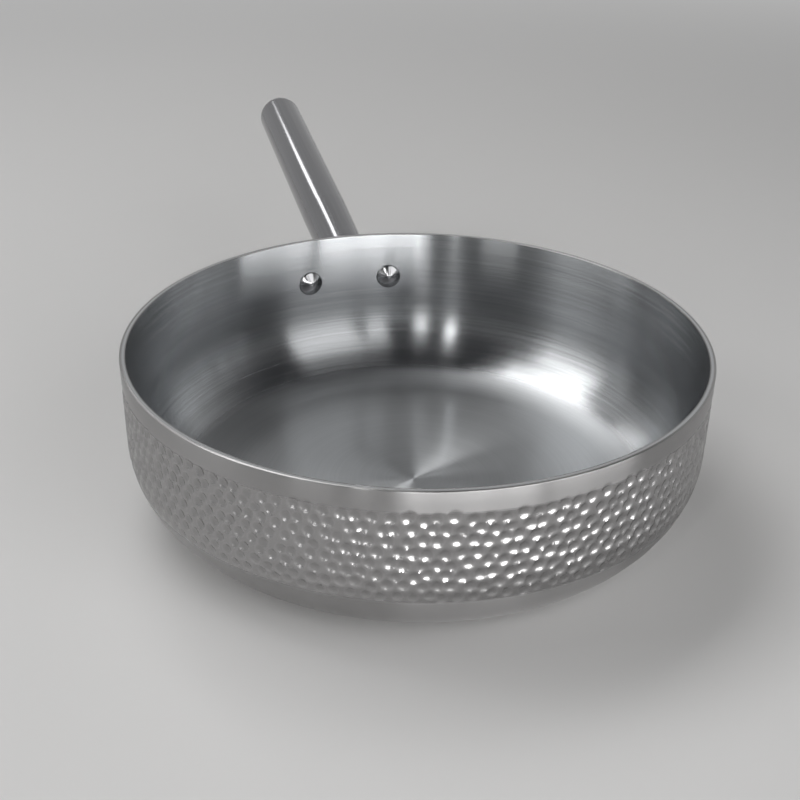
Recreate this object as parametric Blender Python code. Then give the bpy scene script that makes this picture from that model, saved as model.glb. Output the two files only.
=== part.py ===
"""A low, wide steel pan in three bonded layers, hammered outside, with a tubular handle on a riveted bracket.

The origin is the centre of the base, on the surface that the pan stands on, and the handle points along +Y.
Every piece is its own object, and each size is one named value below, in metres.
"""

import math
import random

import bmesh
import bpy
from mathutils import Vector

# Pan body
PAN_RADIUS = 0.120
PAN_HEIGHT = 0.072
CORNER_RADIUS = 0.0365
OUTER_LAYER = 0.0007
CORE_LAYER = 0.0008
INNER_LAYER = 0.0005
BOND_GAP = 0.0002
OUTER_RIM_BEVEL = 0.0004
INNER_RIM_BEVEL = 0.0002

# Hammered belt
SMOOTH_BAND = 0.0084
DIMPLE_ROWS = 8
DIMPLE_PITCH = 0.0046
DIMPLES_ROUND = 136
DIMPLE_DEPTH = 0.00034
DIMPLE_SCATTER = 0.0007
DIMPLE_SEED = 7

# Handle
HANDLE_RISE = math.radians(9.6)
HANDLE_DROP = 0.0144
HANDLE_LENGTH = 0.182
NECK_LENGTH = 0.050
NECK_WAIST = 0.0006
TUBE_RADIUS = 0.012
TUBE_WALL = 0.0015
SPIGOT_LENGTH = 0.018
END_FILLET = 0.0075
END_LAND = 0.001
END_WALL = 0.0015
END_SPIGOT = 0.008
SPIGOT_CHAMFER = 0.0008

# Bracket plate
PLATE = 0.003
PLATE_EDGE = 0.0012
PLATE_COLLAR = 0.001
EAR_RADIUS = 0.0082
FLARE_FOOT = 0.0025
FLARE_BEND = 0.006
FLARE_LENGTH = 0.016
SPOT_FACE_DEPTH = 0.0004

# Rivets
RIVET_SPACING = 0.041
RIVET_DROP = 0.0223
SHANK_RADIUS = 0.0025
HEAD_RADIUS = 0.006
HEAD_LAND = 0.0004
HEAD_CONE = 0.0026
TIP_RADIUS = 0.0008
TIP_DROP = 0.00015
TAIL_RADIUS = 0.0048
TAIL_LAND = 0.0004
TAIL_DOME = 0.0014

# Fits
CLEARANCE = 0.0003
CUT_OVERRUN = 0.002

# Facets
PAN_FACETS = 60
CORNER_FACETS = 5
TUBE_FACETS = 28
FILLET_FACETS = 4
DOME_FACETS = 3
RIVET_FACETS = 20
BRACKET_FACETS = 40
FLARE_FACETS = 6
EDGE_FACETS = 2
HULL_DIRECTIONS = 180
WALL_CUT_FACETS = 120
SHARP_ANGLE = math.radians(35)

# Worked out from the sizes above
WALL = OUTER_LAYER + BOND_GAP + CORE_LAYER + BOND_GAP + INNER_LAYER
HANDLE_FOOT = PAN_HEIGHT - HANDLE_DROP
RIVET_HEIGHT = PAN_HEIGHT - RIVET_DROP
RIVET_TURN = math.asin(RIVET_SPACING / 2 / PAN_RADIUS)
BORE_RADIUS = TUBE_RADIUS - TUBE_WALL
SPIGOT_RADIUS = BORE_RADIUS - CLEARANCE
PLATE_BACK = CLEARANCE
PLATE_FRONT = PLATE_BACK + PLATE


def clear_scene():
    for old in list(bpy.data.objects):
        bpy.data.objects.remove(old)


def metal(name, colour, roughness):
    """A bare metal finish, from its colour and how dull it is."""
    finish = bpy.data.materials.new(name)
    finish.use_nodes = True
    shader = finish.node_tree.nodes["Principled BSDF"]
    shader.inputs["Base Color"].default_value = (*colour, 1.0)
    shader.inputs["Metallic"].default_value = 1.0
    shader.inputs["Roughness"].default_value = roughness
    finish.diffuse_color = (*colour, 1.0)
    return finish


def add_piece(name, mesh, finish=None):
    piece = bpy.data.objects.new(name, mesh)
    bpy.context.scene.collection.objects.link(piece)
    if finish:
        mesh.materials.append(finish)
    return piece


def add_solid(name, shape, finish=None):
    """Makes a closed bmesh an object, with its faces pointing out and its round faces shaded smooth."""
    bmesh.ops.recalc_face_normals(shape, faces=shape.faces)
    mesh = bpy.data.meshes.new(name)
    shape.to_mesh(mesh)
    shape.free()
    mesh.shade_smooth()
    mesh.set_sharp_from_angle(angle=SHARP_ANGLE)
    return add_piece(name, mesh, finish)


def add_turned(name, profile, facets, finish=None):
    """A solid turned about its own Z axis. The profile of (radius, height) runs down its outer side."""
    last = len(profile) - 1
    edges = [(i, i + 1) for i in range(last)]
    if profile[0][0] > 0:
        edges.append((last, 0))
    mesh = bpy.data.meshes.new(name)
    mesh.from_pydata([(radius, 0, height) for radius, height in profile], edges, [])
    piece = add_piece(name, mesh, finish)
    turn = piece.modifiers.new("Turn", "SCREW")
    turn.steps = facets
    turn.render_steps = facets
    turn.use_merge_vertices = True
    turn.merge_threshold = 1e-5
    turn.use_smooth_shade = True
    return piece


def add_cutter(name, profile, facets):
    """A turned solid that only cuts other pieces."""
    cutter = add_turned(name, profile, facets)
    cutter.hide_render = True
    cutter.display_type = "WIRE"
    return cutter


def cut(piece, cutter):
    step = piece.modifiers.new("Cut by " + cutter.name, "BOOLEAN")
    step.operation = "DIFFERENCE"
    step.solver = "EXACT"
    step.object = cutter


def arc(centre, radius, start, end, steps):
    """Points on an arc about a (radius, height) centre. Angles start straight outwards and go up."""
    turns = [start + (end - start) * i / steps for i in range(steps + 1)]
    return [(centre[0] + radius * math.cos(t), centre[1] + radius * math.sin(t)) for t in turns]


def surface_below_rim(depth):
    """The wall's foot, corner and base of the surface this deep in the metal, down to the pan's axis."""
    centre = (PAN_RADIUS - CORNER_RADIUS, CORNER_RADIUS)
    return arc(centre, CORNER_RADIUS - depth, 0, -math.pi / 2, CORNER_FACETS) + [(0, depth)]


def add_layer(name, outer_depth, inner_depth, rim_bevel, finish):
    """A bonded layer of the pan between two depths in the metal, with the inner edge of its rim bevelled."""
    outside = [(PAN_RADIUS - outer_depth, PAN_HEIGHT), *surface_below_rim(outer_depth)]
    inside = surface_below_rim(inner_depth)[::-1]
    if rim_bevel:
        inside.append((PAN_RADIUS - inner_depth, PAN_HEIGHT - rim_bevel))
    inside.append((PAN_RADIUS - inner_depth + rim_bevel, PAN_HEIGHT))
    return add_turned(name, inside + outside, PAN_FACETS, finish)


def ring(shape, radius, height):
    """A circle of points about the pan's axis, or the one point on the axis for no radius."""
    if radius == 0:
        return [shape.verts.new((0, 0, height))]
    turns = [2 * math.pi * i / PAN_FACETS for i in range(PAN_FACETS)]
    return [shape.verts.new((radius * math.cos(t), radius * math.sin(t), height)) for t in turns]


def skin(shape, rings):
    """Faces between each closed ring of points and the next, whatever their counts."""
    for upper, lower in zip(rings, rings[1:]):
        i = j = 0
        m, n = len(upper), len(lower)
        while i < m * (m > 1) or j < n * (n > 1):
            a, b = upper[i % m], lower[j % n]
            if n == 1 or (m > 1 and j == n) or (m > 1 and i < m and (i + 1) * n <= (j + 1) * m):
                i += 1
                shape.faces.new((a, upper[i % m], b))
            else:
                j += 1
                shape.faces.new((a, lower[j % n], b))


def pan_outside(distance):
    """The (radius, height) reached by going this far down the outside of the pan from its rim."""
    past_wall = distance - (PAN_HEIGHT - CORNER_RADIUS)
    if past_wall <= 0:
        return PAN_RADIUS, PAN_HEIGHT - distance
    turn = past_wall / CORNER_RADIUS
    return arc((PAN_RADIUS - CORNER_RADIUS, CORNER_RADIUS), CORNER_RADIUS, 0, -turn, 1)[1]


def hammered_belt(shape):
    """Rows of six-sided dimples, offset like a honeycomb. Returns the jagged rings at its top and bottom."""
    scatter = random.Random(DIMPLE_SEED)
    half_cells = 2 * DIMPLES_ROUND
    swing = DIMPLE_PITCH / 6
    rings = []
    for row in range(DIMPLE_ROWS + 1):
        points = []
        for i in range(half_cells):
            peak = -swing if (i + row) % 2 == 0 else swing
            down = SMOOTH_BAND + row * DIMPLE_PITCH + peak + scatter.uniform(-1, 1) * DIMPLE_SCATTER
            radius, height = pan_outside(down)
            turn = 2 * math.pi * i / half_cells + scatter.uniform(-1, 1) * DIMPLE_SCATTER / PAN_RADIUS
            points.append(shape.verts.new((radius * math.cos(turn), radius * math.sin(turn), height)))
        rings.append(points)
    for row in range(DIMPLE_ROWS):
        upper, lower = rings[row], rings[row + 1]
        for i in range(row % 2, half_cells, 2):
            after = (i + 1) % half_cells
            corners = (upper[i], upper[i - 1], lower[i - 1], lower[i], lower[after], upper[after])
            dimple = shape.faces.new(corners)
            dimple.normal_update()
            depth = DIMPLE_DEPTH * scatter.uniform(0.8, 1.1)
            bmesh.ops.poke(shape, faces=[dimple], offset=-depth, center_mode="MEAN")
    return rings[0], rings[-1]


def add_outer_shell(finish):
    """The outer layer: smooth at the rim, hammered in a belt, then smooth round the corner and base."""
    shape = bmesh.new()
    belt_top, belt_foot = hammered_belt(shape)
    inside = surface_below_rim(OUTER_LAYER)[::-1]
    rim = [
        (PAN_RADIUS - OUTER_LAYER, PAN_HEIGHT),
        (PAN_RADIUS - OUTER_RIM_BEVEL, PAN_HEIGHT),
        (PAN_RADIUS, PAN_HEIGHT - OUTER_RIM_BEVEL),
    ]
    skin(shape, [ring(shape, *point) for point in inside + rim] + [belt_top])
    belt_end = SMOOTH_BAND + DIMPLE_ROWS * DIMPLE_PITCH
    corner_end = PAN_HEIGHT - CORNER_RADIUS + CORNER_RADIUS * math.pi / 2
    steps = [belt_end + (corner_end - belt_end) * i / CORNER_FACETS for i in range(1, CORNER_FACETS + 1)]
    below = [pan_outside(distance) for distance in steps] + [(0, 0)]
    skin(shape, [belt_foot] + [ring(shape, *point) for point in below])
    return add_solid("outer_shell", shape, finish)


def on_wall(across, height, lift):
    """The point this far round the wall from the handle, at this height, standing off the wall by lift."""
    radius = PAN_RADIUS + lift
    turn = across / PAN_RADIUS
    return Vector((radius * math.sin(turn), radius * math.cos(turn), height))


def on_handle(turn, radius, distance):
    """A point round the handle's axis, this far along it from the wall."""
    foot = Vector((0, PAN_RADIUS, HANDLE_FOOT))
    along = Vector((0, math.cos(HANDLE_RISE), math.sin(HANDLE_RISE)))
    up = Vector((0, -math.sin(HANDLE_RISE), math.cos(HANDLE_RISE)))
    return foot + distance * along + radius * (math.cos(turn) * Vector((1, 0, 0)) + math.sin(turn) * up)


def plate_reach(turn):
    """How far the plate's edge is from the handle's foot: the hull of the neck's collar and two ears."""
    ear_across = PAN_RADIUS * RIVET_TURN
    ear_down = RIVET_HEIGHT - HANDLE_FOOT
    discs = [
        (0, 0, TUBE_RADIUS + PLATE_COLLAR),
        (ear_across, ear_down, EAR_RADIUS),
        (-ear_across, ear_down, EAR_RADIUS),
    ]
    reach = math.inf
    for i in range(HULL_DIRECTIONS):
        normal = 2 * math.pi * i / HULL_DIRECTIONS
        facing = math.cos(normal - turn)
        if facing > 0:
            support = max(x * math.cos(normal) + y * math.sin(normal) + r for x, y, r in discs)
            reach = min(reach, support / facing)
    return reach


def bracket_lines(turn):
    """A line of points from behind the bracket's plate, over the flared neck, to the spigot's end."""
    reach = plate_reach(turn)

    def plate_point(from_foot, lift):
        return on_wall(from_foot * math.cos(turn), HANDLE_FOOT + from_foot * math.sin(turn), lift)

    neck = TUBE_RADIUS - NECK_WAIST
    edge = [plate_point(reach, -CUT_OVERRUN)]
    for inset, height in arc((PLATE_EDGE, -PLATE_EDGE), PLATE_EDGE, math.pi, math.pi / 2, EDGE_FACETS)[:-1]:
        edge.append(plate_point(reach - inset, PLATE_FRONT + height))
    bend = (
        plate_point(reach - PLATE_EDGE, PLATE_FRONT),
        plate_point(min(reach - PLATE_EDGE, neck + FLARE_FOOT), PLATE_FRONT),
        on_handle(turn, neck, FLARE_BEND),
        on_handle(turn, neck, FLARE_LENGTH),
    )
    flare = []
    for i in range(FLARE_FACETS + 1):
        t = i / FLARE_FACETS
        weights = ((1 - t) ** 3, 3 * t * (1 - t) ** 2, 3 * t * t * (1 - t), t**3)
        flare.append(sum((w * point for w, point in zip(weights, bend)), Vector()))
    end = NECK_LENGTH + SPIGOT_LENGTH
    spigot = [
        on_handle(turn, (neck + TUBE_RADIUS) / 2, (FLARE_LENGTH + NECK_LENGTH) / 2),
        on_handle(turn, TUBE_RADIUS, NECK_LENGTH),
        on_handle(turn, SPIGOT_RADIUS, NECK_LENGTH),
        on_handle(turn, SPIGOT_RADIUS, end - SPIGOT_CHAMFER),
        on_handle(turn, SPIGOT_RADIUS - SPIGOT_CHAMFER, end),
    ]
    return edge + flare + spigot


def add_bracket(finish):
    """The cast bracket: a saddle plate with an ear for each rivet, a flared neck and the tube's spigot."""
    shape = bmesh.new()
    lines = [bracket_lines(2 * math.pi * i / BRACKET_FACETS) for i in range(BRACKET_FACETS)]
    back = [shape.verts.new(on_wall(0, HANDLE_FOOT, -2 * CUT_OVERRUN))]
    rings = [[shape.verts.new(point) for point in points] for points in zip(*lines)]
    tip = [shape.verts.new(on_handle(0, 0, NECK_LENGTH + SPIGOT_LENGTH))]
    skin(shape, [back, *rings, tip])
    bracket = add_solid("handle_bracket", shape, finish)
    back_radius = PAN_RADIUS + PLATE_BACK
    above_rim = PAN_HEIGHT + CUT_OVERRUN
    wall = [(0, above_rim), (back_radius, above_rim), (back_radius, -CUT_OVERRUN), (0, -CUT_OVERRUN)]
    cutter = add_cutter("wall_cutter", wall, WALL_CUT_FACETS)
    cutter.rotation_euler.z = math.pi / WALL_CUT_FACETS
    cut(bracket, cutter)
    return bracket


def add_handle_tube(finish):
    low = NECK_LENGTH + CLEARANCE
    high = HANDLE_LENGTH - END_FILLET - END_LAND - CLEARANCE
    profile = [(TUBE_RADIUS, high), (TUBE_RADIUS, low), (BORE_RADIUS, low), (BORE_RADIUS, high)]
    return add_turned("handle_tube", profile, TUBE_FACETS, finish)


def add_handle_end(finish):
    """The rounded cup that closes the tube, with a short spigot inside it."""
    shoulder = HANDLE_LENGTH - END_FILLET
    seat = shoulder - END_LAND
    end = seat - END_SPIGOT
    hollow = SPIGOT_RADIUS - END_WALL
    fillet = arc((TUBE_RADIUS - END_FILLET, shoulder), END_FILLET, math.pi / 2, 0, FILLET_FACETS)
    profile = [
        (0, HANDLE_LENGTH),
        *fillet,
        (TUBE_RADIUS, seat),
        (SPIGOT_RADIUS, seat),
        (SPIGOT_RADIUS, end + SPIGOT_CHAMFER),
        (SPIGOT_RADIUS - SPIGOT_CHAMFER, end),
        (hollow, end),
        (hollow, seat),
        (0, seat),
    ]
    return add_turned("handle_end_cap", profile, TUBE_FACETS, finish)


def add_along_handle(pieces):
    """Puts pieces whose Z axis is the handle's on the wall, tilted up with the handle."""
    axis = bpy.data.objects.new("handle_axis", None)
    bpy.context.scene.collection.objects.link(axis)
    axis.location = (0, PAN_RADIUS, HANDLE_FOOT)
    axis.rotation_euler = (HANDLE_RISE - math.pi / 2, 0, 0)
    for piece in pieces:
        piece.parent = axis


def rivet_profile():
    """A rivet from its domed tail, along its shank, to the tip of its head inside the wall."""
    inner_face = (PAN_RADIUS - WALL) * math.cos(math.pi / PAN_FACETS)
    head_seat = inner_face - HEAD_RADIUS**2 / (2 * inner_face) - CLEARANCE
    tail_seat = PAN_RADIUS + PLATE_FRONT - SPOT_FACE_DEPTH + CLEARANCE
    land_top = tail_seat + TAIL_LAND
    rim = head_seat - HEAD_LAND
    tip = rim - HEAD_CONE
    dome = arc((0, 0), 1, math.pi / 2, 0, DOME_FACETS)
    return [
        (0, land_top + TAIL_DOME),
        *[(TAIL_RADIUS * x, land_top + TAIL_DOME * y) for x, y in dome[1:]],
        (TAIL_RADIUS, tail_seat),
        (SHANK_RADIUS, tail_seat),
        (SHANK_RADIUS, head_seat),
        (HEAD_RADIUS, head_seat),
        (HEAD_RADIUS, rim),
        (TIP_RADIUS, tip + TIP_DROP),
        (0, tip),
    ]


def hole_profile():
    """A rivet's hole through the wall and bracket, widened to a flat seat for its tail."""
    hole = SHANK_RADIUS + CLEARANCE
    seat = TAIL_RADIUS + CLEARANCE
    spot_face = PAN_RADIUS + PLATE_FRONT - SPOT_FACE_DEPTH
    clear_of_ear = PAN_RADIUS + PLATE_FRONT + FLARE_LENGTH
    inside_pan = PAN_RADIUS - WALL - 2 * CUT_OVERRUN
    outer_end = [(0, clear_of_ear), (seat, clear_of_ear), (seat, spot_face)]
    return outer_end + [(hole, spot_face), (hole, inside_pan), (0, inside_pan)]


def add_rivet(name, side, pierced, finish):
    """A rivet, and its hole through the pieces that it joins. Side is -1 or 1 along X."""
    hole = add_cutter("hole_cutter_" + name, hole_profile(), RIVET_FACETS)
    rivet = add_turned("rivet_" + name, rivet_profile(), RIVET_FACETS, finish)
    for piece in (hole, rivet):
        piece.location = (0, 0, RIVET_HEIGHT)
        piece.rotation_euler = (-math.pi / 2, 0, -side * RIVET_TURN)
    for piece in pierced:
        cut(piece, hole)


def main():
    clear_scene()
    polished = metal("polished_steel", (0.62, 0.61, 0.61), 0.12)
    brushed = metal("brushed_steel", (0.56, 0.57, 0.58), 0.32)
    aluminium = metal("aluminium", (0.80, 0.81, 0.83), 0.40)
    handle_steel = metal("handle_steel", (0.50, 0.50, 0.51), 0.16)
    rivet_steel = metal("rivet_steel", (0.60, 0.60, 0.61), 0.14)

    core_outer = OUTER_LAYER + BOND_GAP
    core_inner = core_outer + CORE_LAYER
    layers = [
        add_outer_shell(polished),
        add_layer("aluminium_core", core_outer, core_inner, 0, aluminium),
        add_layer("inner_liner", core_inner + BOND_GAP, WALL, INNER_RIM_BEVEL, brushed),
    ]
    bracket = add_bracket(handle_steel)
    add_along_handle([add_handle_tube(handle_steel), add_handle_end(handle_steel)])
    for name, side in (("left", -1), ("right", 1)):
        add_rivet(name, side, [*layers, bracket], rivet_steel)


main()
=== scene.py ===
"""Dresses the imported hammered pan: fine forms, metal finishes, a pale studio and the photograph's camera.

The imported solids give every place. The pan stands on its base at the origin and its handle points along +Y.
"""

import math
import random

import bpy
import numpy as np
from bpy.props import FloatProperty, FloatVectorProperty, IntProperty, PointerProperty
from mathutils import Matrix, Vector


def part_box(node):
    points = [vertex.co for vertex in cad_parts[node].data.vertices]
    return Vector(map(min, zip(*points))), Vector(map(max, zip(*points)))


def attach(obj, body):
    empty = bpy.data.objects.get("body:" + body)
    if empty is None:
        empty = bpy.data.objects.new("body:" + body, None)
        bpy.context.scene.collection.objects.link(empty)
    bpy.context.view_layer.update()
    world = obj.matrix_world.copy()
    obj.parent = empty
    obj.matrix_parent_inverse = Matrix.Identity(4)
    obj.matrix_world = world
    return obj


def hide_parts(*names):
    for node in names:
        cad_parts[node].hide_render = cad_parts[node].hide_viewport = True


bl_info = {
    "name": "Hammered pan",
    "version": (1, 0, 0),
    "blender": (4, 5, 0),
    "location": "3D View > Sidebar > Pan",
    "description": "Makes the fine pieces and finishes of a hammered steel pan, with its studio",
    "category": "Object",
}

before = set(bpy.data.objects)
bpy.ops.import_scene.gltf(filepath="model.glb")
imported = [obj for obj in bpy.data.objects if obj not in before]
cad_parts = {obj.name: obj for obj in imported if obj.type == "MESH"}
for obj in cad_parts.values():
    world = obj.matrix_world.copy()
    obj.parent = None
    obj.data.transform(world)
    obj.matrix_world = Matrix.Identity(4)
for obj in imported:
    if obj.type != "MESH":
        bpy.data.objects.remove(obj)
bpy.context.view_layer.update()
SHELL_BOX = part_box("outer_shell")

# Mesh
POINTS_PER_MARK = 10
ON_SURFACE = 1e-5
NOT_ZERO = 1e-9

# Hammering: shares of the full depth
BLOW_FORCE = (0.88, 1.03)
LAST_ROW_FORCE = 0.85

# Finishes: heights above the table, or distances from the axis, between which one gives way to another
BELT_TOP = (0.0642, 0.0630)
BELT_FOOT = (0.0258, 0.0268)
FLOOR_EDGE = (0.0046, 0.0088)
TURNED_CENTRE = (0.005, 0.06)
# Grey for each height in a hammer mark: painted shade in the hollows, painted light near the ridges; the same
# ramp makes the ridges a little smoother
HOLLOW_SHADE_AND_POLISH = [(0.0, 0.1), (0.35, 0.3), (0.7, 0.9), (1.0, 0.6)]

# Studio
FLOOR_FADE = (0.5, 1.8)
CEILING_FADE = (0.1, 0.85)
LAMP_AIM = 0.03
# Each lamp: name, degrees round from +X, degrees up, distance, width and height, watts
LAMPS = (
    ("top_lamp", 122, 62, 1.7, (1.3, 0.7), 11.5),
    ("main_lamp", 168, 38, 1.1, (0.60, 0.38), 1.9),
    ("right_lamp", -60, 33, 1.1, (0.60, 0.80), 2.5),
    ("handle_lamp", 104, 36, 1.6, (0.16, 0.35), 0.7),
    ("low_lamp", -86, 4, 6.0, (4.8, 0.84), 165),
    ("tall_lamp", -109, 18, 0.62, (0.06, 0.26), 0.26),
    ("side_lamp", -87, 30, 0.8, (0.12, 0.46), 0.30),
    ("slim_lamp", -124, 30, 0.8, (0.05, 0.22), 0.34),
    ("low_right_lamp", -44, 4, 6.0, (3.6, 0.84), 80),
    ("low_left_lamp", -142, 4, 6.0, (1.6, 0.7), 12),
)

# Where a Mix node keeps its factor, its two colours and its result
MIX_FACTOR, MIX_FIRST, MIX_SECOND, MIX_RESULT = 0, 6, 7, 2

def length(name, description, default):
    return FloatProperty(name=name, description=description, default=default, unit="LENGTH", precision=5)


def angle(name, description, default):
    return FloatProperty(name=name, description=description, default=default, subtype="ANGLE")


def colour(name, description, default):
    return FloatVectorProperty(
        name=name, description=description, default=default, subtype="COLOR", min=0, max=1
    )


def share(name, description, default):
    return FloatProperty(
        name=name, description=description, default=default, subtype="FACTOR", min=0, max=1
    )


class PanWall(bpy.types.PropertyGroup):
    radius: length("Radius", "Outside of the wall", SHELL_BOX[1].x)
    height: length("Height", "From the table to the rim", SHELL_BOX[1].z)
    corner: length("Corner", "Outer radius of the curve from wall to base", 0.0365)
    outer_layer: length("Outer layer", "Thickness of the outer steel", 0.0009)
    inner_start: length("Inner start", "How deep in the wall the inner steel begins", 0.0019)
    thickness: length("Thickness", "Whole wall, from outside to inside", 0.0024)
    outer_bevel: length("Outer bevel", "Polished bevel on the outside of the rim", 0.0004)
    inner_bevel: length("Inner bevel", "Broken edge on the inside of the rim", 0.0002)
    seam: length("Seam", "Closed joint between pieces that are bonded or welded", 0.00001)


class HammerMarks(bpy.types.PropertyGroup):
    smooth_band: length("Smooth band", "From the rim to the first row", 0.0084)
    rows: IntProperty(name="Rows", description="Rows of marks", default=8, min=1)
    marks_round: IntProperty(name="Marks round", description="Marks in a row", default=136, min=3)
    pitch: length("Pitch", "From one row to the next", 0.0046)
    depth: length("Depth", "Deepest point of a mark", 0.00085)
    face_radius: length("Face radius", "Roundness of the hammer's face", 0.0046)
    scatter: length("Scatter", "How far a blow lands from its place", 0.0010)
    seed: IntProperty(name="Seed", description="Which scatter of blows", default=7)


class HandleSizes(bpy.types.PropertyGroup):
    rise: angle("Rise", "How steeply the handle climbs", math.radians(9.6))
    drop: length("Drop", "From the rim down to the handle's axis at the wall", 0.0145)
    reach: length("Reach", "From the wall to the handle's end, along it", 0.18189)
    neck: length("Neck", "From the wall to the grip", 0.050)
    waist: length("Waist", "How much thinner the neck is than the grip", 0.0006)
    radius: length("Radius", "Outside of the grip", 0.012)
    wall: length("Wall", "Thickness of the grip's tube", 0.0015)
    end_fillet: length("End fillet", "Rounding of the handle's end", 0.0075)
    end_land: length("End land", "Straight part of the end piece", 0.001)


class BracketSizes(bpy.types.PropertyGroup):
    seat: length("Seat", "Gap behind the plate", 0.00002)
    plate: length("Plate", "Front of the plate, off the wall", 0.0033)
    edge: length("Edge", "Rounding of the plate's edge", 0.0012)
    collar: length("Collar", "Plate round the neck", 0.001)
    ear: length("Ear", "Radius of the plate round each rivet", 0.0082)
    flare_foot: length("Flare foot", "How far the neck spreads on the plate", 0.0025)
    flare_bend: length("Flare bend", "Tightness of the flare", 0.006)
    flare: length("Flare", "Length of the flare along the neck", 0.016)


class RivetSizes(bpy.types.PropertyGroup):
    spacing: length("Spacing", "Between the two rivets", 0.041)
    drop: length("Drop", "From the rim down to the rivets", 0.0223)
    shank: length("Shank", "Radius of the shank", 0.0025)
    hole: length("Hole", "Radius of the hole", 0.00252)
    head: length("Head", "Radius of the head inside the pan", 0.006)
    head_land: length("Head land", "Straight edge of the head", 0.0004)
    head_cone: length("Head cone", "Height of the head's cone", 0.0026)
    tip: length("Tip", "Radius of the cone's rounded tip", 0.0008)
    tail: length("Tail", "Radius of the tail outside", 0.0048)
    tail_land: length("Tail land", "Straight edge of the tail", 0.0004)
    tail_dome: length("Tail dome", "Height of the tail's dome", 0.0014)
    spot_face: length("Spot face", "Depth of the flat cut for the tail", 0.0004)
    spot_radius: length("Spot radius", "Radius of the flat cut for the tail", 0.0051)


class MetalFinishes(bpy.types.PropertyGroup):
    outside: colour("Outside", "Polished steel of the hammered wall", (0.37, 0.365, 0.365))
    inside: colour("Inside", "Brushed steel of the inside", (0.45, 0.46, 0.47))
    core: colour("Core", "Aluminium between the steels", (0.58, 0.59, 0.60))
    handle: colour("Handle", "Polished steel of the handle", (0.29, 0.29, 0.30))
    rivets: colour("Rivets", "Turned steel of the rivets", (0.46, 0.46, 0.47))


class StudioSettings(bpy.types.PropertyGroup):
    floor: colour("Floor", "Pale floor", (0.72, 0.715, 0.71))
    backdrop: colour("Backdrop", "What stands behind the floor and shows in the metal", (0.50, 0.50, 0.50))
    ceiling: colour("Ceiling", "Darker ceiling that shows in the metal", (0.035, 0.035, 0.038))
    fill: share("Fill", "Light from all round", 0.09)
    camera_place: FloatVectorProperty(
        name="Camera place",
        description="Where the camera stands",
        default=(-0.132175, -0.421770, 0.278076),
        subtype="XYZ",
        unit="LENGTH",
    )
    camera_turn: FloatVectorProperty(
        name="Camera turn",
        description="How the camera is turned",
        default=(math.radians(61.80665), math.radians(-0.90394), math.radians(-16.05031)),
        subtype="EULER",
        unit="ROTATION",
    )
    lens: FloatProperty(name="Lens", description="Focal length in mm", default=53.283)


def all_settings():
    scene = bpy.context.scene
    return (scene.pan_wall, scene.pan_hammer, scene.pan_handle, scene.pan_bracket, scene.pan_rivet)


def select_nothing():
    if bpy.context.mode != "OBJECT":
        bpy.ops.object.mode_set(mode="OBJECT")
    bpy.ops.object.select_all(action="DESELECT")


def select_only(piece):
    select_nothing()
    piece.select_set(True)
    bpy.context.view_layer.objects.active = piece


def named(name):
    """Names the object that an operator has just added."""
    piece = bpy.context.object
    piece.name = name
    piece.data.name = name
    return piece


def shade(piece, limit=math.radians(35)):
    """Smooths a piece's shading, but for edges sharper than the limit."""
    select_only(piece)
    bpy.ops.object.shade_smooth_by_angle(angle=limit)


def settle(piece):
    """Puts a piece's place and turn into its mesh."""
    select_only(piece)
    bpy.ops.object.transform_apply(location=True, rotation=True, scale=True)


def copy_of(piece, name):
    """A copy of a piece, with a mesh of its own."""
    select_only(piece)
    bpy.ops.object.duplicate()
    return named(name)


def hand_over(piece, node, finish):
    """Gives a finished piece its metal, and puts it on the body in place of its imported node."""
    piece.data.materials.clear()
    piece.data.materials.append(finish)
    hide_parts(node)
    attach(piece, "root")


def spin_profile(name, profile, steps):
    """A solid of revolution about Z, drawn point by point as (radius, height) and spun."""
    select_nothing()
    bpy.ops.mesh.primitive_plane_add(size=0.001)
    piece = named(name)
    bpy.ops.object.mode_set(mode="EDIT")
    bpy.ops.mesh.merge(type="CENTER")
    bpy.ops.transform.translate(value=(profile[0][0], 0, profile[0][1]))
    for before, after in zip(profile, profile[1:]):
        move = (after[0] - before[0], 0, after[1] - before[1])
        bpy.ops.mesh.extrude_vertices_move(TRANSFORM_OT_translate={"value": move})
    bpy.ops.mesh.select_all(action="SELECT")
    bpy.ops.mesh.spin(steps=steps, angle=2 * math.pi, center=(0, 0, 0), axis=(0, 0, 1), use_auto_merge=True)
    bpy.ops.mesh.select_all(action="SELECT")
    bpy.ops.mesh.remove_doubles(threshold=1e-6)
    bpy.ops.mesh.normals_make_consistent(inside=False)
    bpy.ops.object.mode_set(mode="OBJECT")
    return piece


def join_strips(name, strips):
    """Joins open spun strips that follow one another and bridges the gaps between them."""
    select_nothing()
    for strip in strips:
        strip.select_set(True)
    bpy.context.view_layer.objects.active = strips[0]
    bpy.ops.object.join()
    piece = named(name)
    bpy.ops.object.mode_set(mode="EDIT")
    bpy.ops.mesh.select_all(action="DESELECT")
    bpy.ops.mesh.select_mode(type="EDGE")
    bpy.ops.mesh.select_non_manifold(extend=False)
    bpy.ops.object.mode_set(mode="OBJECT")
    points = piece.data.vertices
    open_edges = [edge for edge in piece.data.edges if edge.select]
    heights = {edge.index: sum(points[v].co.z for v in edge.vertices) / 2 for edge in open_edges}
    middle = (max(heights.values()) + min(heights.values())) / 2
    for upper in (True, False):
        for edge in piece.data.edges:
            edge.select = edge.index in heights and (heights[edge.index] > middle) == upper
        bpy.ops.object.mode_set(mode="EDIT")
        bpy.ops.mesh.bridge_edge_loops()
        bpy.ops.mesh.select_all(action="DESELECT")
        bpy.ops.object.mode_set(mode="OBJECT")
    bpy.ops.object.mode_set(mode="EDIT")
    bpy.ops.mesh.select_all(action="SELECT")
    bpy.ops.mesh.normals_make_consistent(inside=False)
    bpy.ops.mesh.select_mode(type="VERT")
    bpy.ops.object.mode_set(mode="OBJECT")
    return piece


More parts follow.
